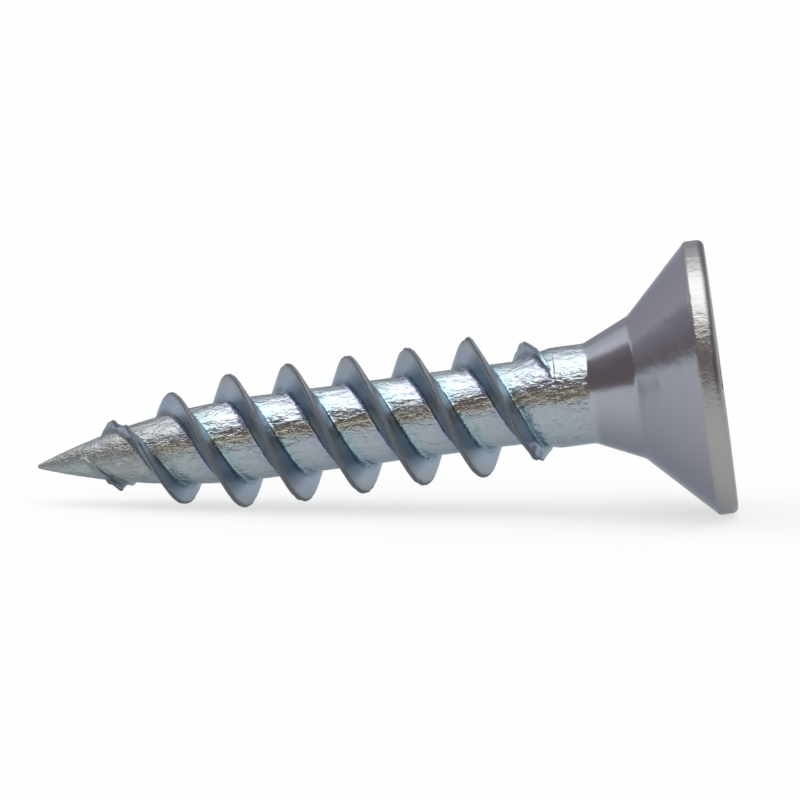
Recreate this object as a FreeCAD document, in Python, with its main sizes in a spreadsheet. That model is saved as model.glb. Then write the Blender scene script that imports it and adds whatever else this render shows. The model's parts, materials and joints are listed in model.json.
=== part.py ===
"""Twin-thread wood screw with a countersunk head, lying at rest.

The screw is one piece of steel. It is modelled upright with its tip at the
bottom, and then laid down on its head and on one thread crest. Sizes are in
millimetres and degrees.
"""
import FreeCAD, Part
import math
import os
import Sketcher

# Heights are measured along the screw from its tip, depths down from the
# face of the head.
SIZES = (
    # whole screw and head
    ("overall_length", 20.0),
    ("head_width", 8.0),
    ("rim_height", 0.56),
    ("rim_top_rounding", 0.2),
    ("rim_lower_rounding", 0.14),
    ("seat_angle", 90.0),
    ("shoulder_width", 4.18),
    ("shoulder_angle", 49.0),
    # plain neck, core and point
    ("neck_width", 2.92),
    ("neck_start", 15.15),
    ("neck_rise", 1.1),
    ("core_width", 2.42),
    ("point_length", 6.6),
    ("tip_width", 0.1),
    # twin thread
    ("thread_width", 4.04),
    ("thread_pitch", 1.75),
    ("thread_starts", 2),
    ("thread_angle", 40.0),
    ("crest_land", 0.09),
    ("thread_begins", 1.3),
    ("thread_full_from", 7.0),
    ("thread_fades_over", 2.2),
    ("crest_offset", 0.63),
    ("ridge_sunk_by", 0.16),
    # cross recess in the head
    ("wing_span", 4.4),
    ("wing_width", 1.03),
    ("wing_depth", 2.06),
    ("wing_bottom_span", 2.34),
    ("recess_point_drop", 0.5),
    ("rib_square", 1.83),
    ("rib_depth", 1.7),
    ("mark_length", 0.9),
    ("mark_width", 0.16),
    ("mark_depth", 0.08),
    ("mark_from_centre", 1.75),
)

POINT_SIDES = 4          # short cones along the point
WINGS = 4                # of the cross recess
POINTS_A_TURN = 24       # worked out along each edge of the thread
SAME_WITHIN = 1e-6       # mm; edges as near as this are the same
Y_AXIS = FreeCAD.Vector(0, 1, 0)
Z_AXIS = FreeCAD.Vector(0, 0, 1)


def make_sheet(doc):
    """Puts every driving dimension in the spreadsheet under its own name."""
    sheet = doc.addObject("Spreadsheet::Sheet", "sizes")
    for row, (name, value) in enumerate(SIZES, start=1):
        sheet.set(f"A{row}", name)
        sheet.set(f"B{row}", str(value))
        sheet.setAlias(f"B{row}", name)
    doc.recompute()
    return sheet


def origin_part(body, role):
    """Finds one of the body's own origin planes or axes."""
    for feature in body.Origin.OriginFeatures:
        if feature.Role == role:
            return feature
    raise LookupError(role)


def new_sketch(body, name):
    """Makes a sketch on the body's upright plane, through the screw's axis."""
    sketch = body.newObject("Sketcher::SketchObject", name)
    sketch.AttachmentSupport = (origin_part(body, "XZ_Plane"), [""])
    sketch.MapMode = "FlatFace"
    return sketch


def draw_outline(sketch, corners):
    """Draws a closed outline and binds its corners to the sizes.

    A corner is a pair of expressions, across and up.
    """
    places = []
    for across, up in corners:
        place = (sketch.evalExpression(across), sketch.evalExpression(up), 0)
        places.append(FreeCAD.Vector(*place))
    for side, start in enumerate(places):
        following = (side + 1) % len(places)
        sketch.addGeometry(Part.LineSegment(start, places[following]))
    for side, corner in enumerate(corners):
        following = (side + 1) % len(corners)
        sketch.addConstraint(Sketcher.Constraint("Coincident", side, 2, following, 1))
        hold_corner(sketch, side, corner, places[side])


def hold_corner(sketch, side, corner, place):
    """Binds the start of a side to its two expressions, or to an axis."""
    across, up = corner
    for kind, expression, value, axis in (
            ("DistanceX", across, place.x, -2), ("DistanceY", up, place.y, -1)):
        if expression == "0":
            fixed = Sketcher.Constraint("PointOnObject", side, 1, axis)
            sketch.addConstraint(fixed)
            continue
        fixed = Sketcher.Constraint(kind, -1, 1, side, 1, value)
        held = sketch.addConstraint(fixed)
        sketch.setExpression(f"Constraints[{held}]", expression)


def point_corners():
    """Corners of the point: short cones that follow one arc to the core."""
    rise = "(sizes.core_width - sizes.tip_width) / 2"
    radius = f"(sizes.point_length ^ 2 + ({rise}) ^ 2) / (2 * {rise})"
    corners = []
    for side in range(POINT_SIDES + 1):
        up = f"sizes.point_length * {side} / {POINT_SIDES}"
        left = f"sizes.point_length * {POINT_SIDES - side} / {POINT_SIDES}"
        drop = f"({radius} - sqrt(({radius}) ^ 2 - ({left}) ^ 2))"
        corners.append((f"sizes.core_width / 2 - {drop}", up if side else "0"))
    return corners


def blank_corners():
    """Half section of the turned blank, from the tip round to the face."""
    shoulder_top = (
        "sizes.overall_length - sizes.rim_height"
        " - (sizes.head_width - sizes.shoulder_width) / 2"
        " / tan(sizes.seat_angle * 1deg / 2)")
    shoulder_bottom = (
        shoulder_top + " - (sizes.shoulder_width - sizes.neck_width) / 2"
        " / tan(sizes.shoulder_angle * 1deg / 2)")
    return [("0", "0")] + point_corners() + [
        ("sizes.core_width / 2", "sizes.neck_start - sizes.neck_rise"),
        ("sizes.neck_width / 2", "sizes.neck_start"),
        ("sizes.neck_width / 2", shoulder_bottom),
        ("sizes.shoulder_width / 2", shoulder_top),
        ("sizes.head_width / 2", "sizes.overall_length - sizes.rim_height"),
        ("sizes.head_width / 2", "sizes.overall_length"),
        ("0", "sizes.overall_length"),
    ]


def make_blank(body):
    """Turns the point, core, neck and countersunk head in one piece."""
    sketch = new_sketch(body, "blank_section")
    draw_outline(sketch, blank_corners())
    turned = body.newObject("PartDesign::Revolution", "turned_blank")
    turned.Profile = sketch
    turned.ReferenceAxis = (sketch, ["V_Axis"])
    turned.Angle = 360
    return turned


def ring_edges(shape, radius, height):
    """Names of the round edges of a radius at a height."""
    names = []
    for number, edge in enumerate(shape.Edges, start=1):
        curve = edge.Curve
        if not isinstance(curve, Part.Circle):
            continue
        near_radius = abs(curve.Radius - radius) < SAME_WITHIN
        near_height = abs(curve.Center.z - height) < SAME_WITHIN
        if near_radius and near_height:
            names.append(f"Edge{number}")
    return names


def round_rim(body, sheet, name, height, size):
    """Rounds the rim of the head where it meets the face or the seat."""
    base = body.Tip
    edges = ring_edges(base.Shape, sheet.head_width / 2, height)
    rounded = body.newObject("PartDesign::Fillet", name)
    rounded.Base = (base, edges)
    rounded.setExpression("Radius", size)
    body.Document.recompute()


def check_cut(feature, volume_before):
    """Stops if a cut took no metal away."""
    feature.Document.recompute()
    if feature.Shape.Volume >= volume_before:
        raise ValueError(f"{feature.Label} cuts nothing")


def repeat_round(body, name, feature):
    """Repeats a cut of the recess evenly round the screw's axis."""
    pattern = body.newObject("PartDesign::PolarPattern", name)
    pattern.Originals = [feature]
    pattern.Axis = (origin_part(body, "Z_Axis"), [""])
    pattern.Angle = 360
    pattern.Occurrences = WINGS
    body.Tip = pattern
    body.Document.recompute()


def cut_wings(body):
    """Cuts the four wings of the cross recess, narrower at their foot."""
    face = "sizes.overall_length"
    section = new_sketch(body, "wing_section")
    draw_outline(section, [
        ("0", f"{face} - sizes.wing_depth - sizes.recess_point_drop"),
        ("sizes.wing_bottom_span / 2", f"{face} - sizes.wing_depth"),
        ("sizes.wing_span / 2", face),
        ("0", face),
    ])
    before = body.Tip.Shape.Volume
    wing = body.newObject("PartDesign::Pocket", "wing")
    wing.Profile = section
    wing.SideType = "Symmetric"
    wing.setExpression("Length", "sizes.wing_width")
    check_cut(wing, before)
    repeat_round(body, "wings", wing)


def cut_ribbed_middle(body):
    """Cuts the square middle, whose flats stand between the wings."""
    before = body.Tip.Shape.Volume
    middle = body.newObject("PartDesign::SubtractivePrism", "ribbed_middle")
    middle.Polygon = WINGS
    middle.setExpression("Circumradius", "sizes.rib_square / sqrt(2)")
    middle.setExpression("Height", "sizes.rib_depth")
    middle.setExpression("Placement.Base.z", "sizes.overall_length - sizes.rib_depth")
    check_cut(middle, before)


def cut_marks(body):
    """Cuts the four shallow marks between the wings."""
    before = body.Tip.Shape.Volume
    mark = body.newObject("PartDesign::SubtractiveBox", "mark")
    mark.setExpression("Length", "sizes.mark_length")
    mark.setExpression("Width", "sizes.mark_width")
    mark.setExpression("Height", "sizes.mark_depth")
    between_wings = FreeCAD.Rotation(Z_AXIS, 180 / WINGS)
    mark.Placement = FreeCAD.Placement(FreeCAD.Vector(), between_wings)
    inner, side = "sizes.mark_from_centre", "sizes.mark_width / 2"
    mark.setExpression("Placement.Base.x", f"({inner} + {side}) / sqrt(2)")
    mark.setExpression("Placement.Base.y", f"({inner} - {side}) / sqrt(2)")
    mark.setExpression("Placement.Base.z", "sizes.overall_length - sizes.mark_depth")
    check_cut(mark, before)
    repeat_round(body, "marks", mark)


def arc_drop(reach, length, fall):
    """How far an arc that ends level has fallen, a reach before its end.

    Over its whole length the arc falls by the given amount.
    """
    radius = (length ** 2 + fall ** 2) / (2 * fall)
    return radius - math.sqrt(radius ** 2 - reach ** 2)


def point_radius(sheet, side):
    """Radius of the point at the top of one of its short cones."""
    reach = sheet.point_length * (POINT_SIDES - side) / POINT_SIDES
    fall = (sheet.core_width - sheet.tip_width) / 2
    return sheet.core_width / 2 - arc_drop(reach, sheet.point_length, fall)


def core_radius(sheet, height):
    """Radius of the blank below the shoulder, at a height."""
    if height < sheet.point_length:
        cone = height / sheet.point_length * POINT_SIDES
        below = math.floor(cone)
        lower = point_radius(sheet, below)
        upper = point_radius(sheet, below + 1)
        return lower + (upper - lower) * (cone - below)
    core = sheet.core_width / 2
    risen = (height - sheet.neck_start + sheet.neck_rise) / sheet.neck_rise
    return core + (sheet.neck_width / 2 - core) * min(max(risen, 0), 1)


def crest_radius(sheet, height):
    """Radius of the thread's crest: it comes out of the point, and fades."""
    full = sheet.thread_width / 2
    if height < sheet.thread_full_from:
        length = sheet.thread_full_from - sheet.thread_begins
        fall = full - core_radius(sheet, sheet.thread_begins)
        return full - arc_drop(sheet.thread_full_from - height, length, fall)
    reach = height - sheet.neck_start + sheet.thread_fades_over
    fall = full - sheet.neck_width / 2
    return full - arc_drop(max(reach, 0), sheet.thread_fades_over, fall)


def ridge_section(sheet, height):
    """Section of a thread ridge as offsets along and out from the axis.

    The flanks run on into the core, so the ridge and the core overlap.
    """
    crest = crest_radius(sheet, height)
    root = core_radius(sheet, height) - sheet.ridge_sunk_by
    half_crest = sheet.crest_land / 2
    slope = math.tan(math.radians(sheet.thread_angle / 2))
    half_root = half_crest + (crest - root) * slope
    return [(-half_root, root), (-half_crest, crest), (half_crest, crest), (half_root, root)]


def helix_edges(sheet, first, last):
    """The four long edges of a thread ridge between two counts of turns."""
    lead = sheet.thread_pitch * sheet.thread_starts
    steps = math.ceil((last - first) * POINTS_A_TURN)
    turns = [first + (last - first) * step / steps for step in range(steps + 1)]
    edges = []
    for corner in range(4):
        points = []
        for turn in turns:
            height = sheet.crest_offset + lead * turn
            along, out = ridge_section(sheet, height)[corner]
            angle = 2 * math.pi * turn
            across = FreeCAD.Vector(out * math.cos(angle), out * math.sin(angle), 0)
            points.append(across + Z_AXIS * (height + along))
        curve = Part.BSplineCurve()
        curve.interpolate(Points=points, Parameters=turns)
        edges.append(curve.toShape())
    return edges


def ridge_solid(edges):
    """Closes the four long edges of a stretch of ridge to a solid."""
    faces = []
    for corner, edge in enumerate(edges):
        faces.append(Part.makeRuledSurface(edges[corner - 1], edge))
    for end in (0, -1):
        corners = [edge.Vertexes[end].Point for edge in edges]
        faces.append(Part.Face(Part.makePolygon(corners + corners[:1])))
    shell = Part.makeShell(faces)
    shell.sewShape()
    solid = Part.makeSolid(shell)
    if solid.Volume < 0:
        solid.reverse()
    return solid


def make_threads(doc, sheet):
    """Makes the ridge of each start of the thread, one turn at a time."""
    lead = sheet.thread_pitch * sheet.thread_starts
    sink = sheet.ridge_sunk_by / 4
    first = (sheet.thread_begins - sink - sheet.crest_offset) / lead
    last = (sheet.neck_start + sink - sheet.crest_offset) / lead
    stretches = math.ceil(last - first)
    ridges = []
    for stretch in range(stretches):
        ends = [first + (last - first) * (stretch + end) / stretches for end in (0, 1)]
        solid = ridge_solid(helix_edges(sheet, *ends))
        for start in range(int(sheet.thread_starts)):
            ridge = doc.addObject("Part::Feature", f"ridge_{start + 1}_turn_{stretch + 1}")
            ridge.Shape = solid
            turned = FreeCAD.Rotation(Z_AXIS, 360 * start / sheet.thread_starts)
            ridge.Placement = FreeCAD.Placement(FreeCAD.Vector(), turned)
            ridges.append(ridge)
    return ridges


def resting_tilt(sheet):
    """Angle at which the screw lies on its rim and one thread crest."""
    rim_top = sheet.overall_length - sheet.rim_height
    rim = sheet.head_width / 2
    slopes = []
    crest = sheet.crest_offset
    while crest < sheet.neck_start:
        if crest > sheet.thread_begins:
            rise = rim - crest_radius(sheet, crest)
            slopes.append(rise / (rim_top - crest))
        crest += sheet.thread_pitch
    return math.degrees(math.atan(min(slopes)))


def lay_down(screw, sheet):
    """Lays the screw on its side, centred over the origin of the floor."""
    laid = FreeCAD.Rotation(Y_AXIS, 90 - resting_tilt(sheet))
    screw.Placement = FreeCAD.Placement(FreeCAD.Vector(), laid)
    screw.Document.recompute()
    box = screw.Shape.optimalBoundingBox(False)
    middle = FreeCAD.Vector(box.Center.x, box.Center.y, box.ZMin)
    screw.Placement = FreeCAD.Placement(-middle, laid)
    screw.Document.recompute()


def make_screw(doc, sheet):
    """Joins the blank and its thread ridges in one solid, at rest."""
    body = doc.addObject("PartDesign::Body", "blank")
    make_blank(body)
    doc.recompute()
    face = sheet.overall_length
    round_rim(body, sheet, "rim_top", face, "sizes.rim_top_rounding")
    round_rim(body, sheet, "rim_lower", face - sheet.rim_height, "sizes.rim_lower_rounding")
    cut_wings(body)
    cut_ribbed_middle(body)
    cut_marks(body)
    screw = doc.addObject("Part::MultiFuse", "screw")
    screw.Shapes = [body] + make_threads(doc, sheet)
    screw.Refine = False
    doc.recompute()
    lay_down(screw, sheet)
    return screw


def check_document(doc, parts):
    """Stops unless every feature worked and every part is one valid solid."""
    for item in doc.Objects:
        if "Invalid" in item.State or "Error" in item.State:
            raise ValueError(f"{item.Label} failed: {item.State}")
    for part in parts:
        shape = part.Shape
        if shape.isNull() or not shape.isValid() or len(shape.Solids) != 1:
            raise ValueError(f"{part.Label} is not one valid solid")


def main():
    doc = FreeCAD.newDocument("twin_thread_screw")
    sheet = make_sheet(doc)
    parts = [make_screw(doc, sheet)]
    check_document(doc, parts)
    os.makedirs("parts", exist_ok=True)
    for part in parts:
        part.Shape.exportStep(f"parts/{part.Label}.step")
        print(part.Label, "volume", round(part.Shape.Volume, 3), part.Shape.BoundBox)


main()
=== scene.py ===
"""Twin-thread screw in bright zinc plate, lying on a pale floor."""
import math

import bmesh
import bpy
from mathutils import Matrix, Vector
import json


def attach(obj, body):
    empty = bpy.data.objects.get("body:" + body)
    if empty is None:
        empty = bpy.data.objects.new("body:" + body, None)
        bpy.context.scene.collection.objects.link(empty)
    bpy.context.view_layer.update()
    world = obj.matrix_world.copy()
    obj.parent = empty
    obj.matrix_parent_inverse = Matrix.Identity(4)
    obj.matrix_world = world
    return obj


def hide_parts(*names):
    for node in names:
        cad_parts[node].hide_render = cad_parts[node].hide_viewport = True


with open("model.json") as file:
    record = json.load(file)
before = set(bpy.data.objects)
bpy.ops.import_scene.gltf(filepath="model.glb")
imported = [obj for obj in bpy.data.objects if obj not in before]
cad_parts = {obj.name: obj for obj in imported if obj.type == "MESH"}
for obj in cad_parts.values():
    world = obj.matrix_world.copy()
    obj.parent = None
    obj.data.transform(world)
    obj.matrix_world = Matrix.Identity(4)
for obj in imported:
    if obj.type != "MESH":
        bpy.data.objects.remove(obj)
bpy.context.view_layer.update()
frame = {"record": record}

MM = 0.001

# The screw stands on its tip here, in millimetres: heights are measured from
# the tip and depths from the face of the head, as in the solid.
LENGTH = 20.0
HEAD_RADIUS = 4.0
RIM_HEIGHT = 0.56
RIM_TOP_ROUNDING = 0.2
RIM_LOWER_ROUNDING = 0.14
SHOULDER_RADIUS = 2.09
SHOULDER_HEIGHT = 17.53
BEND_ROUNDING = 0.35
NECK_RADIUS = 1.46
NECK_START = 15.15
NECK_END = 16.15
NECK_RISE = 1.1
CORE_RADIUS = 1.21
POINT_LENGTH = 6.6
TIP_RADIUS = 0.05
TIP_DOME = 0.03
# Rings of the dome: share of its radius and height.
TIP_RINGS = ((0.3, 0.0), (0.75, 0.25 * TIP_DOME), (1.0, TIP_DOME))
THREAD_RADIUS = 2.02
CREST_SPACING = 1.75
STARTS = 2
FLANK_ANGLE = 20.0
CREST_LAND = 0.09
CREST_ROUNDING = 0.03
ROOT_ROUNDING = 0.1
THREAD_BEGINS = 1.3
THREAD_FULL_FROM = 7.0
THREAD_FADES_OVER = 2.2
CREST_OFFSET = 0.63

# Drive recess.
WING_SPAN = 4.4
WING_WIDTH = 1.03
WING_DEPTH = 2.06
WING_BOTTOM_SPAN = 2.34
RECESS_POINT_DROP = 0.5
RIB_SQUARE = 1.83
RIB_DEPTH = 1.7
MARK_LENGTH = 0.9
MARK_WIDTH = 0.16
MARK_DEPTH = 0.08
MARK_FROM_CENTRE = 1.75
CUT_ABOVE_FACE = 0.3

# How finely the surface is divided.
COLUMNS_A_TURN = 120
ROWS_A_SIDE = 27
NECK_ROWS = 16
CONE_ROWS = 16
SEAT_ROWS = 30
RIM_ROWS = 4
FACE_ROWS = 8
BEND_STEPS = 4
FACE_EDGE_STEPS = 6
FACE_FLAT_RADIUS = HEAD_RADIUS * 0.6

# How near two heights or points count as one, and the angle in degrees from
# which an edge is shaded as sharp.
FOOT_TOLERANCE = 1e-4
JOINING_DISTANCE = 0.0015
SHARP_FROM_ANGLE = 38.0

# Shares of a strip's half width that the crest, its edge and the flank end
# at, and the middle and reach of each side of the core.
CREST_SHARE = 0.08
EDGE_SHARE = 0.2
FLANK_SHARE = 0.6
SIDE_PLACE = (0.62, 0.38)
SMALLEST_RIDGE = 0.02
NECK_RING_REACH = 0.02

# Marks of thread rolling. Depths and heights are in millimetres. A place is
# a height on the screw and how far the mark reaches from it. The pairs that
# end in RIDGE are shares of the thread's full rise.
THREADED_ENDS = (NECK_START - 0.3, NECK_START + 0.3)
PITS_END_RIDGE = (0.05, 0.35)
PIT_DEPTH = 0.012
WAVE_HEIGHT = 0.01
TEAR_DEPTH = 0.34
TEAR_LEVEL = 0.3
TEAR_BITES = (-0.5, 0.6)
TEAR_RIDGE = (0.05, 0.4)
TORN_FIRST_TURN = (2.3, 1.2)
TORN_LAST_TURN = (14.5, 0.9)
LAST_TURN_SHARE = 0.6
RAGGED_DEPTH = 0.09
BURR_HEIGHT = 0.09
BURR_PLACE = (12.95, 0.3)
BURR_UPWARD = (0.93, 1.0)

# Noise textures: scale, detail, roughness and distortion.
NOISES = {
    "pits": (3.2, 3.0, 0.6, 0.0),
    "waves": (1.1, 2.0, 0.5, 0.0),
    "bites": (2.1, 1.0, 0.5, 0.0),
    "ragged": (3.4, 2.0, 0.5, 0.0),
    "cells": (5.0, 4.0, 0.55, 0.8),
    "flecks": (14.0, 3.0, 0.5, 0.5),
    "swells": (2.4, 1.0, 0.5, 0.4),
    "broad": (1.3, 2.0, 0.5, 0.0),
    "grain": (30.0, 3.0, 0.6, 0.0),
}
# The core's textures are drawn out along the screw by this.
STRETCH = (1.0, 1.0, 0.5)
# Thin cracks in the rolled surface, which a noise makes wander.
CRACK_SCALE = 3.2
CRACK_WIDTH = 0.07
CRACK_WANDER = 0.25
CRACK_WANDER_SCALE = 4.8


class Field:
    """A number in a node tree; arithmetic on it adds Math nodes."""

    def __init__(self, tree, socket):
        self.tree = tree
        self.socket = socket

    def math(self, operation, *others, clamp=False):
        """Adds a Math node that works on this number and the others."""
        node = self.tree.nodes.new("ShaderNodeMath")
        node.operation = operation
        node.use_clamp = clamp
        for place, value in zip(node.inputs, (self,) + others):
            connect(self.tree, value, place)
        return Field(self.tree, node.outputs[0])

    def __add__(self, other):
        return self.math("ADD", other)

    def __radd__(self, other):
        return self.math("ADD", other)

    def __sub__(self, other):
        return self.math("SUBTRACT", other)

    def __rsub__(self, other):
        return (self * -1.0) + other

    def __mul__(self, other):
        return self.math("MULTIPLY", other)

    def __truediv__(self, other):
        return self.math("DIVIDE", other)

    def rise(self, low, high, kind):
        """0 below low, 1 above high and a rise of one kind between them."""
        node = add_node(self.tree, "ShaderNodeMapRange", {
            "Value": self, "From Min": low, "From Max": high}, interpolation_type=kind)
        return Field(self.tree, node.outputs["Result"])

    def ramp(self, low, high):
        """A rise that is straight."""
        return self.rise(low, high, "LINEAR")

    def smooth_step(self, low, high):
        """A rise that is soft at both ends."""
        return self.rise(low, high, "SMOOTHSTEP")

    def bump(self, middle, reach):
        """1 at the middle, fading softly to 0 a reach away on both sides."""
        away = (self - middle).math("ABSOLUTE")
        return 1.0 - away.smooth_step(0.0, reach)


def connect(tree, value, place):
    """Links a field or a socket to an input, or sets a plain value on it."""
    if isinstance(value, Field):
        value = value.socket
    if isinstance(value, bpy.types.NodeSocket):
        tree.links.new(value, place)
    else:
        place.default_value = value


def add_node(tree, kind, inputs=None, **settings):
    """Adds a node, with its settings and the inputs named in a dict."""
    node = tree.nodes.new(kind)
    for name, value in settings.items():
        setattr(node, name, value)
    for name, value in (inputs or {}).items():
        connect(tree, value, node.inputs[name])
    return node


def connect_enabled(tree, node, inputs):
    """Connects the named inputs of a node whose kind hides the others."""
    for place in node.inputs:
        if place.enabled and place.name in inputs:
            connect(tree, inputs[place.name], place)


def vector_of(tree, across, along, up):
    """A vector made of three fields or numbers."""
    node = add_node(tree, "ShaderNodeCombineXYZ", {"X": across, "Y": along, "Z": up})
    return node.outputs["Vector"]


def part_of(tree, vector):
    """The three numbers of a vector."""
    node = add_node(tree, "ShaderNodeSeparateXYZ", {"Vector": vector})
    return [Field(tree, output) for output in node.outputs]


def vector_math(tree, operation, vector, other=None, factor=None):
    """Works on a vector by itself, with another vector or with a factor."""
    node = add_node(tree, "ShaderNodeVectorMath", operation=operation)
    connect(tree, vector, node.inputs[0])
    if other is not None:
        connect(tree, other, node.inputs[1])
    if factor is not None:
        connect(tree, factor, node.inputs["Scale"])
    return node.outputs["Vector"]


def noise(tree, vector, name):
    """One of the soft noises, from -1 to 1, on a vector."""
    names = ("Scale", "Detail", "Roughness", "Distortion")
    inputs = {"Vector": vector, **dict(zip(names, NOISES[name]))}
    node = add_node(tree, "ShaderNodeTexNoise", inputs)
    return (Field(tree, node.outputs[0]) - 0.5) * 2.0


def new_object(name, data):
    """Makes an object and puts it in the scene."""
    thing = bpy.data.objects.new(name, data)
    bpy.context.scene.collection.objects.link(thing)
    return thing


def mesh_from(name, shape):
    """Makes a mesh from a bmesh, which is used up."""
    mesh = bpy.data.meshes.new(name)
    shape.to_mesh(mesh)
    shape.free()
    return mesh


def finished_mesh(piece):
    """The mesh of an object with its modifiers worked out."""
    depsgraph = bpy.context.evaluated_depsgraph_get()
    return bpy.data.meshes.new_from_object(piece.evaluated_get(depsgraph))


def ring_of_points(shape, radius, height):
    """Adds a ring of points about the upright axis to a bmesh."""
    ring = []
    for column in range(COLUMNS_A_TURN):
        angle = 2 * math.pi * column / COLUMNS_A_TURN
        place = (radius * math.cos(angle), radius * math.sin(angle), height)
        ring.append(shape.verts.new(place))
    return ring


def bridge(shape, lower, upper):
    """Joins two rings of points with faces that look outwards."""
    for column in range(len(lower)):
        after = (column + 1) % len(lower)
        shape.faces.new((lower[column], lower[after], upper[after], upper[column]))


def lathe_mesh(name, outline):
    """Turns an outline of radius and height pairs about the upright axis."""
    shape = bmesh.new()
    rings = [ring_of_points(shape, *point) for point in outline]
    for lower, upper in zip(rings, rings[1:]):
        bridge(shape, lower, upper)
    shape.faces.new(rings[-1])
    shape.faces.new(reversed(rings[0]))
    return mesh_from(name, shape)


def rounded_corner(before, corner, after, size, steps):
    """Points of an arc that rounds the corner of an outline."""
    before, corner, after = Vector(before), Vector(corner), Vector(after)
    back = (before - corner).normalized()
    ahead = (after - corner).normalized()
    half = back.angle(ahead) / 2
    inward = (back + ahead).normalized()
    centre = corner + inward * size / math.sin(half)
    side = math.copysign(1.0, back.y * ahead.x - back.x * ahead.y)
    points = []
    for step in range(steps + 1):
        swing = (math.pi / 2 - half) * (2 * step / steps - 1) * side
        outward = Matrix.Rotation(swing, 2) @ -inward
        points.append(tuple(centre + outward * size))
    return points


def spread(start, end, steps):
    """Points between two ends, without the last one."""
    return [tuple(Vector(start).lerp(Vector(end), step / steps)) for step in range(steps)]


def head_outline():
    """Outline of the neck and head, from the end of the thread to the face."""
    neck_foot = (NECK_RADIUS, NECK_START)
    neck_top = (NECK_RADIUS, NECK_END)
    shoulder = (SHOULDER_RADIUS, SHOULDER_HEIGHT)
    rim_foot = (HEAD_RADIUS, LENGTH - RIM_HEIGHT)
    rim_top = (HEAD_RADIUS, LENGTH)
    flat_edge = (FACE_FLAT_RADIUS, LENGTH)
    bends = [
        rounded_corner(neck_foot, neck_top, shoulder, BEND_ROUNDING, BEND_STEPS),
        rounded_corner(neck_top, shoulder, rim_foot, BEND_ROUNDING, BEND_STEPS),
        rounded_corner(shoulder, rim_foot, rim_top, RIM_LOWER_ROUNDING, BEND_STEPS),
        rounded_corner(rim_foot, rim_top, flat_edge, RIM_TOP_ROUNDING, FACE_EDGE_STEPS),
    ]
    outline = [neck_foot]
    rows = (NECK_ROWS, CONE_ROWS, SEAT_ROWS, RIM_ROWS)
    for bend, steps in zip(bends, rows):
        outline += spread(outline[-1], bend[0], steps)[1:]
        outline += bend
    outline += spread(outline[-1], flat_edge, FACE_ROWS)[1:]
    outline.append(flat_edge)
    return outline


def add_prism(shape, lower, upper):
    """Adds a closed prism between two rings of places to a bmesh."""
    lower = [shape.verts.new(place) for place in lower]
    upper = [shape.verts.new(place) for place in upper]
    shape.faces.new(list(reversed(lower)))
    shape.faces.new(upper)
    bridge(shape, lower, upper)


def wing_sides(turn):
    """Two sides of a pair of opposite wings, turned about the axis."""
    side_slope = (WING_SPAN - WING_BOTTOM_SPAN) / 2 / WING_DEPTH
    top_reach = WING_SPAN / 2 + side_slope * CUT_ABOVE_FACE
    top = LENGTH + CUT_ABOVE_FACE
    outline = [
        (0.0, LENGTH - WING_DEPTH - RECESS_POINT_DROP),
        (WING_BOTTOM_SPAN / 2, LENGTH - WING_DEPTH),
        (top_reach, top),
        (-top_reach, top),
        (-WING_BOTTOM_SPAN / 2, LENGTH - WING_DEPTH),
    ]
    spin = Matrix.Rotation(turn, 3, "Z")
    return [[spin @ Vector((reach, across, height)) for reach, height in outline]
            for across in (WING_WIDTH / 2, -WING_WIDTH / 2)]


def upright_sides(corners, depth):
    """Lower and upper ring of an upright prism, cut a depth into the face."""
    return [[(across, along, height) for across, along in corners]
            for height in (LENGTH - depth, LENGTH + CUT_ABOVE_FACE)]


def recess_sides():
    """Sides of all that is cut from the head: wings, ribs and marks."""
    sides = [wing_sides(turn) for turn in (0.0, math.pi / 2)]
    reach = RIB_SQUARE / math.sqrt(2)
    square = [(reach, 0.0), (0.0, reach), (-reach, 0.0), (0.0, -reach)]
    sides.append(upright_sides(square, RIB_DEPTH))
    outer = MARK_FROM_CENTRE + MARK_LENGTH
    side = MARK_WIDTH / 2
    mark = [(MARK_FROM_CENTRE, -side), (outer, -side), (outer, side), (MARK_FROM_CENTRE, side)]
    for quarter in range(4):
        spin = Matrix.Rotation(math.pi / 4 + quarter * math.pi / 2, 2)
        corners = [spin @ Vector(corner) for corner in mark]
        sides.append(upright_sides(corners, MARK_DEPTH))
    return sides


def recess_cutters():
    """Objects to be cut from the head."""
    cutters = []
    for lower, upper in recess_sides():
        shape = bmesh.new()
        add_prism(shape, lower, upper)
        bmesh.ops.recalc_face_normals(shape, faces=shape.faces[:])
        cutters.append(new_object("recess_cutter", mesh_from("recess_cutter", shape)))
    return cutters


def head_object():
    """The neck, the head with its recess, and the dome at the tip."""
    head = new_object("screw_head", lathe_mesh("screw_head", head_outline()))
    cutters = recess_cutters()
    for cutter in cutters:
        cut = head.modifiers.new("recess", "BOOLEAN")
        cut.operation = "DIFFERENCE"
        cut.solver = "MANIFOLD"
        cut.object = cutter
    finished = finished_mesh(head)
    head.modifiers.clear()
    head.data = finished
    for cutter in cutters:
        bpy.data.objects.remove(cutter)
    open_foot(finished)
    add_tip(finished)
    return head


def open_foot(mesh):
    """Takes away the flat end of the neck, where the thread joins it."""
    shape = bmesh.new()
    shape.from_mesh(mesh)
    flat = [face for face in shape.faces
            if all(abs(vert.co.z - NECK_START) < FOOT_TOLERANCE for vert in face.verts)]
    bmesh.ops.delete(shape, geom=flat, context="FACES_ONLY")
    shape.to_mesh(mesh)
    shape.free()


def arc_fall(reach, length, fall):
    """How far an arc that ends level has fallen, a reach before its end."""
    radius = (length ** 2 + fall ** 2) / (2 * fall)
    return radius - math.sqrt(radius ** 2 - reach ** 2)


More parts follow.
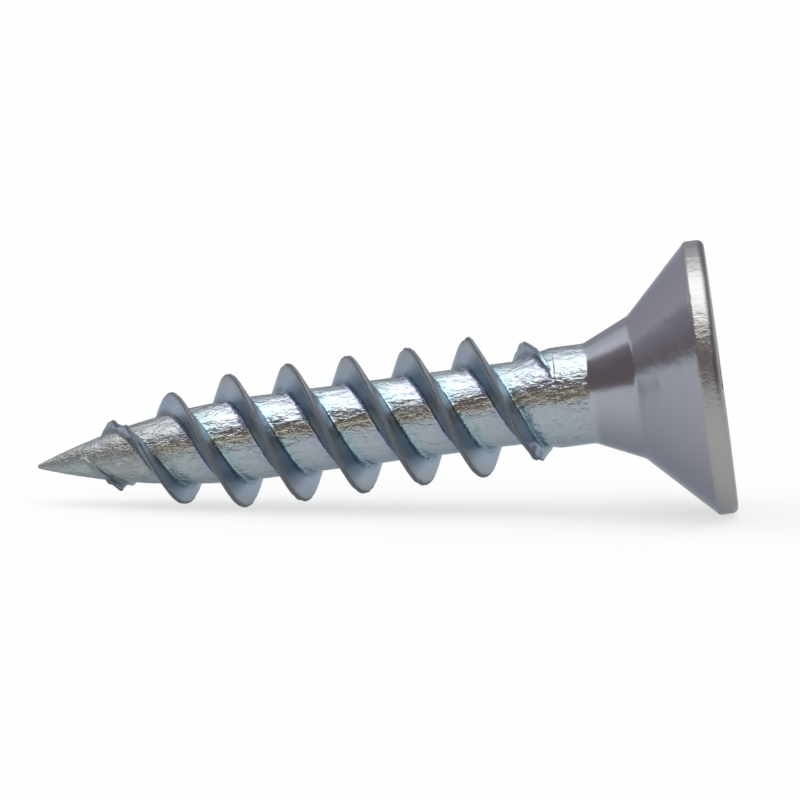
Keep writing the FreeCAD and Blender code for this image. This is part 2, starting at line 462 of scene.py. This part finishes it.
def add_tip(mesh):
    """Adds the small blunt dome at the very tip."""
    fall = arc_fall(POINT_LENGTH - TIP_DOME, POINT_LENGTH, CORE_RADIUS - TIP_RADIUS)
    radius = CORE_RADIUS - fall
    shape = bmesh.new()
    shape.from_mesh(mesh)
    rings = [ring_of_points(shape, radius * share, height) for share, height in TIP_RINGS]
    shape.faces.new(reversed(rings[0]))
    for lower, upper in zip(rings, rings[1:]):
        bridge(shape, lower, upper)
    shape.to_mesh(mesh)
    shape.free()


def arc_drop_group():
    """The arc_fall of a field, as a group of nodes."""
    tree = bpy.data.node_groups.new("Arc Drop", "GeometryNodeTree")
    for name in ("Reach", "Length", "Fall"):
        tree.interface.new_socket(name, in_out="INPUT", socket_type="NodeSocketFloat")
    tree.interface.new_socket("Drop", in_out="OUTPUT", socket_type="NodeSocketFloat")
    entry = tree.nodes.new("NodeGroupInput")
    reach, length, fall = (Field(tree, entry.outputs[k]) for k in range(3))
    radius = (length * length + fall * fall) / (fall * 2.0)
    reach = reach.math("MAXIMUM", 0.0)
    inside = (radius * radius - reach * reach).math("MAXIMUM", 0.0)
    drop = radius - inside.math("SQRT")
    leave = tree.nodes.new("NodeGroupOutput")
    connect(tree, drop, leave.inputs["Drop"])


def arc_drop(tree, reach, length, fall):
    """Uses the Arc Drop group in a tree."""
    inputs = {"Reach": reach, "Length": length, "Fall": fall}
    group = bpy.data.node_groups["Arc Drop"]
    node = add_node(tree, "GeometryNodeGroup", inputs, node_tree=group)
    return Field(tree, node.outputs["Drop"])


def store(tree, geometry, name, value, kind="FLOAT"):
    """Keeps a number or a vector on every point under a name."""
    node = add_node(tree, "GeometryNodeStoreNamedAttribute", domain="POINT", data_type=kind)
    connect_enabled(tree, node, {"Geometry": geometry, "Name": name, "Value": value})
    return node.outputs["Geometry"]


def read(tree, name):
    """Reads a number kept on the points."""
    node = add_node(tree, "GeometryNodeInputNamedAttribute", {"Name": name})
    return Field(tree, node.outputs["Attribute"])


THREAD_SIZES = {
    "Core Radius": CORE_RADIUS,
    "Tip Radius": TIP_RADIUS,
    "Tip Dome": TIP_DOME,
    "Point Length": POINT_LENGTH,
    "Neck Radius": NECK_RADIUS,
    "Neck Start": NECK_START,
    "Neck Rise": NECK_RISE,
    "Thread Radius": THREAD_RADIUS,
    "Crest Spacing": CREST_SPACING,
    "Flank Slope": math.tan(math.radians(FLANK_ANGLE)),
    "Crest Land": CREST_LAND,
    "Thread Begins": THREAD_BEGINS,
    "Thread Full From": THREAD_FULL_FROM,
    "Thread Fades Over": THREAD_FADES_OVER,
    "Crest Offset": CREST_OFFSET,
    "Root Rounding": ROOT_ROUNDING,
    "Roughness": 1.0,
}
THREAD_COUNTS = {
    "Starts": STARTS,
    "Columns a Turn": COLUMNS_A_TURN,
    "Rows": 2 * ROWS_A_SIDE + 1,
}


class ThreadTree:
    """Geometry nodes for the threaded shank, joined to the head's mesh."""

    def __init__(self):
        tree = bpy.data.node_groups.new("Twin Thread", "GeometryNodeTree")
        self.tree = tree
        new = tree.interface.new_socket
        new("Geometry", in_out="INPUT", socket_type="NodeSocketGeometry")
        for name, value in THREAD_SIZES.items():
            socket = new(name, in_out="INPUT", socket_type="NodeSocketFloat")
            socket.default_value = value
        for name, value in THREAD_COUNTS.items():
            socket = new(name, in_out="INPUT", socket_type="NodeSocketInt")
            socket.default_value = value
        new("Material", in_out="INPUT", socket_type="NodeSocketMaterial")
        new("Geometry", in_out="OUTPUT", socket_type="NodeSocketGeometry")
        self.entry = tree.nodes.new("NodeGroupInput")

    def size(self, name):
        """One of the tree's own inputs."""
        return Field(self.tree, self.entry.outputs[name])

    def position(self):
        """The place of every point."""
        return add_node(self.tree, "GeometryNodeInputPosition").outputs[0]

    def core(self, height):
        """Radius of the turned blank at a height."""
        core = self.size("Core Radius")
        left = self.size("Point Length") - height
        fall = core - self.size("Tip Radius")
        point = core - arc_drop(self.tree, left, self.size("Point Length"), fall)
        risen = (height - self.size("Neck Start")) / self.size("Neck Rise") + 1.0
        risen = risen.math("MULTIPLY", 1.0, clamp=True)
        return point + (self.size("Neck Radius") - core) * risen

    def crest(self, height):
        """Radius of the thread's crest at a height."""
        full = self.size("Thread Radius")
        left = self.size("Thread Full From") - height
        length = self.size("Thread Full From") - self.size("Thread Begins")
        begins = self.core(self.size("Thread Begins"))
        growth = arc_drop(self.tree, left, length, full - begins)
        over = self.size("Thread Fades Over")
        past = height - self.size("Neck Start") + over
        fade = arc_drop(self.tree, past, over, full - self.size("Neck Radius"))
        return full - growth - fade

    def strip(self):
        """One flat grid that covers the turns of one start of the thread.

        Also settles the lead, the first turn and how many turns there are.
        """
        tree = self.tree
        spacing = self.size("Crest Spacing")
        columns = self.size("Columns a Turn")
        self.lead = spacing * self.size("Starts")
        lowest = (spacing * -0.5 - self.size("Crest Offset")) / self.lead
        highest = (spacing * 0.5 + self.size("Neck Start")
                   - self.size("Crest Offset")) / self.lead
        first = (lowest * columns).math("FLOOR")
        last = (highest * columns).math("CEIL")
        self.first_turn = first / columns
        self.turns = (last - first) / columns
        grid = add_node(tree, "GeometryNodeMeshGrid", {
            "Size X": 1.0, "Size Y": 2.0,
            "Vertices X": last - first + 1.0,
            "Vertices Y": self.size("Rows")})
        return grid.outputs["Mesh"]

    def wrap(self, strip):
        """Winds the flat grid round the axis and raises the ridge on it."""
        tree = self.tree
        along, across, _ = part_of(tree, self.position())
        turn = self.first_turn + (along + 0.5) * self.turns
        centre = self.size("Crest Offset") + self.lead * turn
        crest = self.crest(centre)
        ridge = (crest - self.core(centre)).math("MAXIMUM", SMALLEST_RIDGE)
        share = across.math("ABSOLUTE")
        land = self.size("Crest Land") * 0.5
        flank = ridge * self.size("Flank Slope")
        rest = self.size("Crest Spacing") * 0.5 - land - flank
        offset = (share.ramp(0.0, CREST_SHARE) * land
                  + share.ramp(CREST_SHARE, FLANK_SHARE) * flank
                  + share.ramp(FLANK_SHARE, 1.0) * rest)
        height = centre + offset * across.math("SIGN")
        height = height.math("MAXIMUM", self.size("Tip Dome"))
        height = height.math("MINIMUM", self.size("Neck Start"))
        down = (offset - land).math("SMOOTH_MAX", 0.0, CREST_ROUNDING)
        down = down / self.size("Flank Slope")
        core = self.core(height)
        radius = core.math("SMOOTH_MAX", crest - down, self.size("Root Rounding"))
        # The last ring of points is as round as the neck that it joins.
        ends = height.bump(self.size("Neck Start"), NECK_RING_REACH)
        radius = radius + (core - radius) * ends
        angle = turn * (2 * math.pi)
        place = vector_of(tree, radius * angle.math("COSINE"),
                          radius * angle.math("SINE"), height)
        raised = (radius - core) / (self.size("Thread Radius") - self.size("Core Radius"))
        side = share.bump(*SIDE_PLACE) * across.math("SIGN")
        # These are kept while the grid is flat, as it gives them their places.
        strip = store(tree, strip, "ridge", raised)
        strip = store(tree, strip, "side", side)
        strip = store(tree, strip, "edge", 1.0 - share.smooth_step(CREST_SHARE, EDGE_SHARE))
        moved = add_node(tree, "GeometryNodeSetPosition", {
            "Geometry": strip, "Position": place})
        return moved.outputs["Geometry"]

    def starts(self, strip):
        """Sets one wound strip for each start evenly round the axis."""
        tree = self.tree
        points = add_node(tree, "GeometryNodeMeshLine", {
            "Count": self.size("Starts"), "Start Location": (0.0, 0.0, 0.0),
            "Offset": (0.0, 0.0, 0.0)})
        index = Field(tree, add_node(tree, "GeometryNodeInputIndex").outputs[0])
        turned = vector_of(tree, 0.0, 0.0, index / self.size("Starts") * (2 * math.pi))
        placed = add_node(tree, "GeometryNodeInstanceOnPoints", {
            "Points": points.outputs["Mesh"], "Instance": strip, "Rotation": turned})
        real = add_node(tree, "GeometryNodeRealizeInstances", {
            "Geometry": placed.outputs["Instances"]})
        return real.outputs["Geometry"]

    def join(self, strips):
        """Joins the shank to the head where their rings of points meet."""
        tree = self.tree
        joined = tree.nodes.new("GeometryNodeJoinGeometry")
        connect(tree, self.entry.outputs["Geometry"], joined.inputs[0])
        connect(tree, strips, joined.inputs[0])
        merged = add_node(tree, "GeometryNodeMergeByDistance", {
            "Geometry": joined.outputs[0], "Distance": JOINING_DISTANCE})
        return merged.outputs["Geometry"]

    def roughen(self, screw):
        """Adds the marks of thread rolling: pits, tears, ragged crests, a burr.

        Also keeps each point's upright place, which the material goes by.
        """
        tree = self.tree
        position = self.position()
        across, along, height = part_of(tree, position)
        ridge = read(tree, "ridge")
        edge = read(tree, "edge")
        threaded = 1.0 - height.smooth_step(*THREADED_ENDS)
        core = 1.0 - ridge.smooth_step(*PITS_END_RIDGE)
        pits = noise(tree, position, "pits") * PIT_DEPTH * core * threaded
        waves = noise(tree, position, "waves") * WAVE_HEIGHT * threaded
        torn = height.bump(*TORN_FIRST_TURN) + height.bump(*TORN_LAST_TURN) * LAST_TURN_SHARE
        bites = noise(tree, position, "bites").smooth_step(*TEAR_BITES)
        tear = (TEAR_LEVEL - bites) * TEAR_DEPTH * torn * ridge.smooth_step(*TEAR_RIDGE)
        ragged = (noise(tree, position, "ragged") * RAGGED_DEPTH).math("MINIMUM", 0.0)
        upward = across / (across * across + along * along).math("SQRT") * -1.0
        burr = height.bump(*BURR_PLACE) * upward.smooth_step(*BURR_UPWARD) * BURR_HEIGHT
        lift = pits + waves + tear + (ragged + burr) * edge
        radial = vector_math(tree, "NORMALIZE", vector_of(tree, across, along, 0.0))
        push = vector_math(tree, "SCALE", radial, factor=lift * self.size("Roughness"))
        moved = add_node(tree, "GeometryNodeSetPosition", {"Geometry": screw, "Offset": push})
        return store(tree, moved.outputs["Geometry"], "upright", position, "FLOAT_VECTOR")

    def finish(self, screw):
        """Shades the screw smooth and gives it its material."""
        tree = self.tree
        smooth = add_node(tree, "GeometryNodeSetShadeSmooth", {
            "Geometry": screw, "Shade Smooth": True})
        real = add_node(tree, "GeometryNodeRealizeInstances", {
            "Geometry": smooth.outputs["Geometry"]})
        painted = add_node(tree, "GeometryNodeSetMaterial", {
            "Geometry": real.outputs["Geometry"], "Material": self.entry.outputs["Material"]})
        leave = tree.nodes.new("NodeGroupOutput")
        connect(tree, painted.outputs["Geometry"], leave.inputs["Geometry"])
        return tree


def thread_tree():
    """The whole tree of the screw's thread."""
    arc_drop_group()
    thread = ThreadTree()
    strip = thread.wrap(thread.strip())
    screw = thread.join(thread.starts(strip))
    return thread.finish(thread.roughen(screw))


def laid_down():
    """Turns the upright screw in millimetres into the frame, in metres."""
    mounts = {mount["name"]: mount for mount in frame["record"]["mounts"]}
    tip = Vector(mounts["thread"]["pos_m"])
    up = Vector(mounts["head_face"]["axis"]).normalized()
    side = Vector((0.0, 1.0, 0.0))
    under = side.cross(up)
    turn = Matrix((under, side, up)).transposed().to_4x4()
    return Matrix.Translation(tip) @ turn @ Matrix.Scale(MM, 4)


def build_screw(material):
    """Makes the screw's mesh and lays it where the solid lies."""
    screw = head_object()
    screw.name = "zinc_screw"
    thread = screw.modifiers.new("thread", "NODES")
    tree = thread_tree()
    thread.node_group = tree
    for socket in tree.interface.items_tree:
        if socket.in_out == "INPUT" and socket.name == "Material":
            thread[socket.identifier] = material
    mesh = finished_mesh(screw)
    screw.modifiers.clear()
    screw.data = mesh
    mesh.name = "zinc_screw"
    mesh.transform(laid_down())
    mesh.set_sharp_from_angle(angle=math.radians(SHARP_FROM_ANGLE))
    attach(screw, "root")
    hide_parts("screw")
    return screw


# Where the places of the plate begin and where they are full: on the thread
# by the share of its full rise, and along the screw by height.
CORE_ENDS = (0.02, 0.2)
FLANK_FADES_IN = (0.06, 0.3)
CREST_FADES_IN = (0.05, 0.3)
FLANK_REFLECTION_ENDS = (0.3, 0.9)
ROOT_SHADE_PLACE = (0.12, 0.16)
TIP_ENDS = (1.2, 3.0)
POINT_ENDS = (3.0, 6.0)
FILM_FADES_IN = (2.0, 4.5)
OLIVE_REFLECTION_FADES_IN = (1.5, 4.0)
GROOVE_PLACE = (NECK_START + 0.06, 0.07)
SHANK_ENDS = (NECK_END - 0.1, NECK_END + 0.1)
CONE_FADES_IN = (NECK_END - 0.1, NECK_END + 0.3)
SEAT_FADES_IN = (SHOULDER_HEIGHT - 0.2, SHOULDER_HEIGHT + 0.2)
RIM_FADES_IN = (LENGTH - RIM_HEIGHT - 0.1, LENGTH - RIM_HEIGHT)
FACE_EDGE_PLACE = (LENGTH - 0.09, 0.12)
FACE_EDGE_RADII = (3.7, 3.8)

# Bands round the screw, by how far down or up the surface looks, -1 to 1. They place painted
# light: an olive painted reflection on the core's sides, painted shade on the core's
# underside, on the point's upper side and on the cones' lower side, and a painted dark
# reflection on the head's face edge.
OLIVE_REFLECTION_BAND = (-0.17, 0.26)
UNDERSIDE_SHADE = (0.6, 1.0)
POINT_SHADE_BAND = (0.0, 0.5)
EDGE_REFLECTION_BAND = (-0.1, 0.15)
LOWER_SHADE_FROM = -0.2
SEAT_LOWER_SHADE_FROM = -0.5
LOWER_SHADE_FULL = 0.9
SMALLEST_RADIUS = 0.01

# Stains on the core and worn spots: what each texture and place adds, the
# level that is taken off, and where a spot begins and is full.
STAIN_FLECKS = 0.5
STAIN_POINT = 0.4
STAIN_LEVEL = 0.05
WORN_GRAIN = 0.5
WORN_FLECKS = 0.4
WORN_CREST = 1.4
WORN_LEVEL = 0.8
SPOT_FADES_IN = (0.0, 0.5)

# The passivate's film lies on the sides of the core, in patches.
FILM_SIDE = (0.2, 1.0)
FILM_PATCHES = 0.8
CYAN_EVEN = 0.45
VIOLET_EVEN = 0.5

# The metal's own colour, and its tint where it is seen at a low angle.
BASE_COLOUR = (0.36, 0.40, 0.43)
LOW_ANGLE_TINT = (0.62, 0.66, 0.72, 1.0)
# In the order that they are laid: how strongly each tint covers its place,
# its colour, and how it mixes with what is under it.
TINTS = {
    "flank": (1.0, (0.37, 0.405, 0.43), "MIX"),
    "cone": (1.0, (0.34, 0.355, 0.405), "MIX"),
    "rim": (1.0, (0.33, 0.328, 0.325), "MIX"),
    # painted reflection: light blue on the lower flanks
    "painted_flank_reflection": (0.65, (0.36, 0.46, 0.58), "MIX"),
    # painted shade: dark teal in the crease at the thread's root
    "root": (0.8, (0.21, 0.30, 0.35), "MIX"),
    "cyan_film": (1.0, (0.62, 0.98, 1.0), "MULTIPLY"),
    "violet_film": (1.0, (0.90, 0.78, 1.0), "MULTIPLY"),
    # painted reflection: olive band on the core's sides, under its highlight
    "painted_olive_reflection": (0.75, (0.43, 0.42, 0.33), "MIX"),
    # painted shade: dark teal on the core's underside
    "painted_underside_shade": (0.5, (0.21, 0.30, 0.35), "MIX"),
    # painted shade: darker on the upper side of the point
    "painted_point_shade": (0.4, (0.14, 0.14, 0.155), "MIX"),
    # painted reflection: dark line on the upper side of the face edge
    "painted_edge_reflection": (0.7, (0.13, 0.115, 0.115), "MIX"),
    # painted shade: darker on the lower side of the cones and seat
    "painted_lower_shade": (0.27, (0.0, 0.0, 0.0), "MIX"),
    "stain": (0.55, (0.25, 0.25, 0.215), "MIX"),
    "worn": (0.7, (0.115, 0.13, 0.15), "MIX"),
}

# Roughness all over, and what each texture and place adds to it.
EVEN_ROUGHNESS = 0.15
ROUGHNESSES = {
    "broad": 0.03,
    "stain": 0.08,
    "crest": 0.35,
    "flank": 0.2,
    "rim": 0.12,
    "cone": 0.05,
    "pointed": 0.1,
    "tip": 0.15,
}

# Heights of the fine relief, as shares of its unit.
RELIEF_UNIT = 0.012 * MM
SWELLS = 2.4
CELLS = 1.6
FLECKS = 0.55
POINT_FLECKS = 0.6
CRACKS = 0.35
GROOVE = 1.7
RIM_LUMPS = 0.4
RIM_FLECKS = 0.1
GRAIN = 0.12
CONE_SWELLS = 0.2
CONE_BROAD = 0.5
CONE_FLECKS = 0.05


def mixed(tree, share, first, second, blend):
    """Mixes two colours by a share."""
    node = add_node(tree, "ShaderNodeMix", data_type="RGBA", blend_type=blend)
    colours = {"A": first, "B": second}
    for name, colour in colours.items():
        if isinstance(colour, tuple):
            colours[name] = (*colour, 1.0)
    connect_enabled(tree, node, {"Factor": share, **colours})
    return next(output for output in node.outputs if output.enabled)


def attribute(tree, name):
    """A node that reads what the thread's tree kept on the points."""
    return add_node(tree, "ShaderNodeAttribute", attribute_name=name)


def crack_lines(tree, vector):
    """1 on thin wandering lines between cells and 0 elsewhere."""
    wander = add_node(tree, "ShaderNodeTexNoise", {
        "Vector": vector, "Scale": CRACK_WANDER_SCALE})
    shift = vector_math(tree, "SCALE", wander.outputs["Color"], factor=CRACK_WANDER)
    edges = add_node(tree, "ShaderNodeTexVoronoi", {
        "Vector": vector_math(tree, "ADD", vector, shift),
        "Scale": CRACK_SCALE}, feature="DISTANCE_TO_EDGE")
    return 1.0 - Field(tree, edges.outputs["Distance"]).smooth_step(0.0, CRACK_WIDTH)


def plate_fields(tree):
    """All that the plate's look is made of, by name.

    Places are 1 on one part of the screw and 0 elsewhere, and so are the
    cracks. The other textures run from -1 to 1.
    """
    upright = attribute(tree, "upright").outputs["Vector"]
    ridge, side, edge = (Field(tree, attribute(tree, name).outputs["Fac"])
                         for name in ("ridge", "side", "edge"))
    across, along, height = part_of(tree, upright)
    radius = (across * across + along * along).math("SQRT")
    down = across / radius.math("MAXIMUM", SMALLEST_RADIUS)
    up = down * -1.0

    stretched = vector_math(tree, "MULTIPLY", upright, STRETCH)
    cells, flecks, swells = (noise(tree, stretched, name)
                             for name in ("cells", "flecks", "swells"))
    broad = noise(tree, upright, "broad")
    grain = noise(tree, upright, "grain")

    shank = 1.0 - height.smooth_step(*SHANK_ENDS)
    core = shank * (1.0 - ridge.smooth_step(*CORE_ENDS))
    flank = ridge.smooth_step(*FLANK_FADES_IN)
    crest = edge * ridge.smooth_step(*CREST_FADES_IN)
    cone = height.smooth_step(*CONE_FADES_IN)
    rim = height.smooth_step(*RIM_FADES_IN)
    seat = height.smooth_step(*SEAT_FADES_IN)
    pointed = 1.0 - height.smooth_step(*POINT_ENDS)

    filmed = core * height.smooth_step(*FILM_FADES_IN)
    cyan = side.smooth_step(*FILM_SIDE) * filmed
    violet = (side * -1.0).smooth_step(*FILM_SIDE) * filmed
    face_edge = height.bump(*FACE_EDGE_PLACE) * radius.smooth_step(*FACE_EDGE_RADII)
    # painted shade, darker towards the lower side of the cones and seat
    painted_lower_shade = down.smooth_step(seat * SEAT_LOWER_SHADE_FROM + LOWER_SHADE_FROM, LOWER_SHADE_FULL)
    stain = cells + flecks * STAIN_FLECKS + pointed * STAIN_POINT - STAIN_LEVEL
    worn = grain * WORN_GRAIN + flecks * WORN_FLECKS + crest * WORN_CREST - WORN_LEVEL
    return {
        "cells": cells,
        "flecks": flecks,
        "swells": swells,
        "broad": broad,
        "grain": grain,
        "cracks": crack_lines(tree, stretched),
        "core": core,
        "flank": flank,
        "crest": crest,
        "cone": cone,
        "rim": rim,
        "pointed": pointed,
        "tip": 1.0 - height.smooth_step(*TIP_ENDS),
        "groove": height.bump(*GROOVE_PLACE),
        # painted reflection on the lower flanks
        "painted_flank_reflection": flank * (1.0 - ridge.smooth_step(*FLANK_REFLECTION_ENDS)),
        # painted shade in the crease at the thread's root
        "root": ridge.bump(*ROOT_SHADE_PLACE) * shank,
        "cyan_film": cyan * (cells * FILM_PATCHES + CYAN_EVEN),
        "violet_film": violet * (cells * FILM_PATCHES + VIOLET_EVEN),
        # painted olive reflection where the core faces the side
        "painted_olive_reflection": down.bump(*OLIVE_REFLECTION_BAND) * core * height.smooth_step(*OLIVE_REFLECTION_FADES_IN),
        # painted shade on the core's underside
        "painted_underside_shade": down.smooth_step(*UNDERSIDE_SHADE) * core,
        # painted shade on the upper side of the point
        "painted_point_shade": pointed * up.smooth_step(*POINT_SHADE_BAND) * core,
        # painted dark reflection on the upper side of the face edge
        "painted_edge_reflection": face_edge * up.smooth_step(*EDGE_REFLECTION_BAND),
        # painted shade on the lower side of the cones and seat
        "painted_lower_shade": painted_lower_shade * cone * (1.0 - rim),
        "stain": stain.smooth_step(*SPOT_FADES_IN) * core,
        "worn": worn.smooth_step(*SPOT_FADES_IN) * shank,
    }


def plate_colour(tree, fields):
    """The plate's colour, tint over tint, some tints being painted light and shade."""
    colour = BASE_COLOUR
    for name, (strength, tint, blend) in TINTS.items():
        colour = mixed(tree, fields[name] * strength, colour, tint, blend)
    return colour


def plate_roughness(fields):
    """How dull the plate is."""
    rough = EVEN_ROUGHNESS
    for name, share in ROUGHNESSES.items():
        rough = rough + fields[name] * share
    return rough


def plate_relief(fields):
    """Fine heights: lumps of the rolled core, grain, and faint waves on the cone."""
    cells, flecks, swells, broad, grain, cracks, core, crest, cone, rim = (
        fields[name] for name in ("cells", "flecks", "swells", "broad", "grain",
                                  "cracks", "core", "crest", "cone", "rim"))
    lumps = swells * SWELLS + cells * CELLS
    lumps = lumps + flecks * (fields["pointed"] * POINT_FLECKS + FLECKS)
    lumps = lumps - cracks * CRACKS - fields["groove"] * GROOVE
    relief = lumps * (core + rim * RIM_LUMPS)
    relief = relief + flecks * rim * RIM_FLECKS + grain * GRAIN * (crest + rim)
    waves = swells * CONE_SWELLS + broad * CONE_BROAD + flecks * CONE_FLECKS
    return relief + waves * cone * (1.0 - rim)


def zinc_material():
    """Bright zinc plate with a blue passivate, uneven where it was rolled, with painted light
    and shade in its colour.
    """
    material = bpy.data.materials.new("bright_zinc_plate")
    material.use_nodes = True
    tree = material.node_tree
    shader = tree.nodes["Principled BSDF"]
    shader.inputs["Metallic"].default_value = 1.0
    shader.inputs["Specular Tint"].default_value = LOW_ANGLE_TINT
    fields = plate_fields(tree)
    connect(tree, plate_colour(tree, fields), shader.inputs["Base Color"])
    connect(tree, plate_roughness(fields), shader.inputs["Roughness"])
    bump = add_node(tree, "ShaderNodeBump", {
        "Strength": 1.0, "Distance": RELIEF_UNIT, "Height": plate_relief(fields)})
    connect(tree, bump.outputs["Normal"], shader.inputs["Normal"])
    return material


# Camera, fitted to the tip and the face of the head in the picture.
CAMERA_DISTANCE = 0.5
CAMERA_AZIMUTH = 0.5
CAMERA_ELEVATION = 7.0
CAMERA_ROLL = 0.83
VIEW_WIDTH = 23.21 * MM
VIEW_CENTRE = (0.000311, 0.0, 0.003193)

# Surroundings: strength of the fill, and the floor's reach, colour and how
# much white is mixed with it for the rays that see it.
FILL = 0.75
FLOOR_REACH = 3.0
FLOOR_COLOUR = (0.88, 0.885, 0.89, 1.0)
FLOOR_ROUGHNESS = 0.9
FLOOR_WHITENESS = 0.65
WHITE = (1.0, 1.0, 1.0)

# Lamps: place, size and watts, and whether each shows in gloss instead of
# lighting the surfaces, so that shine and shadow are set apart.
LAMPS = {
    "overhead": ((0.0, 0.0, 0.5), (0.84, 0.6), 1.5, False),
    "overhead_shine": ((0.0, -0.059, 0.48), (0.8, 0.536), 2.95, True),
}

# Studio cards: azimuths from the front, positive towards the head, then
# elevations and colour.
CARDS = {
    "dark_card_front": ((-98.0, 80.0), (1.0, 54.0), (0.25, 0.20, 0.20)),
    "dim_card_left": ((-116.0, -98.0), (1.0, 19.0), (0.40, 0.35, 0.37)),
    "grey_card_left": ((-180.0, -116.0), (1.0, 34.0), (0.68, 0.64, 0.65)),
    "grey_card_right": ((80.0, 180.0), (1.0, 45.0), (0.60, 0.60, 0.63)),
}
CARD_DISTANCE = 1.2
CARD_COLUMNS = 24
CARD_ROWS = 12


def add_camera():
    """Looks along the side of the screw, a little from above."""
    azimuth = math.radians(CAMERA_AZIMUTH)
    elevation = math.radians(CAMERA_ELEVATION)
    away = Vector((math.sin(azimuth) * math.cos(elevation),
                   -math.cos(azimuth) * math.cos(elevation), math.sin(elevation)))
    data = bpy.data.cameras.new("camera")
    data.sensor_width = 36.0
    data.lens = data.sensor_width * CAMERA_DISTANCE / VIEW_WIDTH
    data.clip_start = 0.001
    camera = new_object("camera", data)
    aim = away.to_track_quat("Z", "Y").to_matrix().to_4x4()
    roll = Matrix.Rotation(math.radians(CAMERA_ROLL), 4, "Z")
    place = Matrix.Translation(Vector(VIEW_CENTRE) + away * CAMERA_DISTANCE)
    camera.matrix_world = place @ aim @ roll
    bpy.context.scene.camera = camera


def rays_that_see(tree):
    """1 for rays from the camera, in reflections and through glass."""
    path = tree.nodes.new("ShaderNodeLightPath")
    seen = Field(tree, path.outputs["Is Camera Ray"])
    for ray in ("Is Glossy Ray", "Is Transmission Ray"):
        seen = seen.math("MAXIMUM", Field(tree, path.outputs[ray]))
    return seen


def add_glow(tree, colour):
    """A plain emission of one colour."""
    return add_node(tree, "ShaderNodeEmission", {"Color": (*colour, 1.0)}).outputs[0]


def add_floor():
    """A plain pale floor that keeps a faint shadow."""
    mesh = bpy.data.meshes.new("floor")
    corners = [(across * FLOOR_REACH, along * FLOOR_REACH, 0)
               for across, along in ((-1, -1), (1, -1), (1, 1), (-1, 1))]
    mesh.from_pydata(corners, [], [(0, 1, 2, 3)])
    floor = new_object("floor", mesh)
    material = bpy.data.materials.new("pale_floor")
    material.use_nodes = True
    tree = material.node_tree
    shader = tree.nodes["Principled BSDF"]
    shader.inputs["Base Color"].default_value = FLOOR_COLOUR
    shader.inputs["Roughness"].default_value = FLOOR_ROUGHNESS
    shader.inputs["Specular IOR Level"].default_value = 0.0
    share = tree.nodes.new("ShaderNodeMixShader")
    connect(tree, rays_that_see(tree) * FLOOR_WHITENESS, share.inputs[0])
    connect(tree, shader.outputs[0], share.inputs[1])
    connect(tree, add_glow(tree, WHITE), share.inputs[2])
    connect(tree, share.outputs[0], tree.nodes["Material Output"].inputs["Surface"])
    mesh.materials.append(material)


def add_light(name, place, size, watts, gloss):
    """A soft rectangular lamp that points at the screw."""
    data = bpy.data.lights.new(name, "AREA")
    data.shape = "RECTANGLE"
    data.size, data.size_y = size
    data.energy = watts
    lamp = new_object(name, data)
    lamp.location = place
    lamp.rotation_euler = Vector(place).to_track_quat("Z", "Y").to_euler()
    lamp.visible_glossy = gloss
    lamp.visible_diffuse = not gloss


def card_mesh(name, azimuths, elevations):
    """Part of a sphere round the screw."""
    shape = bmesh.new()
    grid = []
    for row in range(CARD_ROWS + 1):
        up = elevations[0] + (elevations[1] - elevations[0]) * row / CARD_ROWS
        up = math.radians(up)
        flat = CARD_DISTANCE * math.cos(up)
        line = []
        for column in range(CARD_COLUMNS + 1):
            turn = azimuths[0] + (azimuths[1] - azimuths[0]) * column / CARD_COLUMNS
            turn = math.radians(turn)
            place = (flat * math.sin(turn), -flat * math.cos(turn),
                     CARD_DISTANCE * math.sin(up))
            line.append(shape.verts.new(place))
        grid.append(line)
    for low, high in zip(grid, grid[1:]):
        for column in range(CARD_COLUMNS):
            shape.faces.new((low[column], low[column + 1], high[column + 1], high[column]))
    return mesh_from(name, shape)


def add_card(name, azimuths, elevations, colour):
    """A curved studio card that only shows in the metal's reflections."""
    mesh = card_mesh(name, azimuths, elevations)
    card = new_object(name, mesh)
    card.visible_camera = False
    card.visible_diffuse = False
    card.visible_shadow = False
    material = bpy.data.materials.new(name)
    material.use_nodes = True
    tree = material.node_tree
    tree.nodes.remove(tree.nodes["Principled BSDF"])
    surface = tree.nodes["Material Output"].inputs["Surface"]
    connect(tree, add_glow(tree, colour), surface)
    mesh.materials.append(material)


def light_scene():
    """White surroundings with a softer fill, the lamps and the studio's cards."""
    world = bpy.data.worlds.new("studio")
    world.use_nodes = True
    bpy.context.scene.world = world
    tree = world.node_tree
    background = tree.nodes["Background"]
    background.inputs["Color"].default_value = (*WHITE, 1.0)
    connect(tree, rays_that_see(tree) * (1.0 - FILL) + FILL, background.inputs["Strength"])
    for name, settings in LAMPS.items():
        add_light(name, *settings)
    for name, settings in CARDS.items():
        add_card(name, *settings)


def main():
    """Builds the screw and its studio."""
    screw = build_screw(zinc_material())
    print("screw triangles", sum(len(face.vertices) - 2 for face in screw.data.polygons))
    add_floor()
    light_scene()
    add_camera()
    bpy.context.scene.view_settings.view_transform = "Standard"


main()
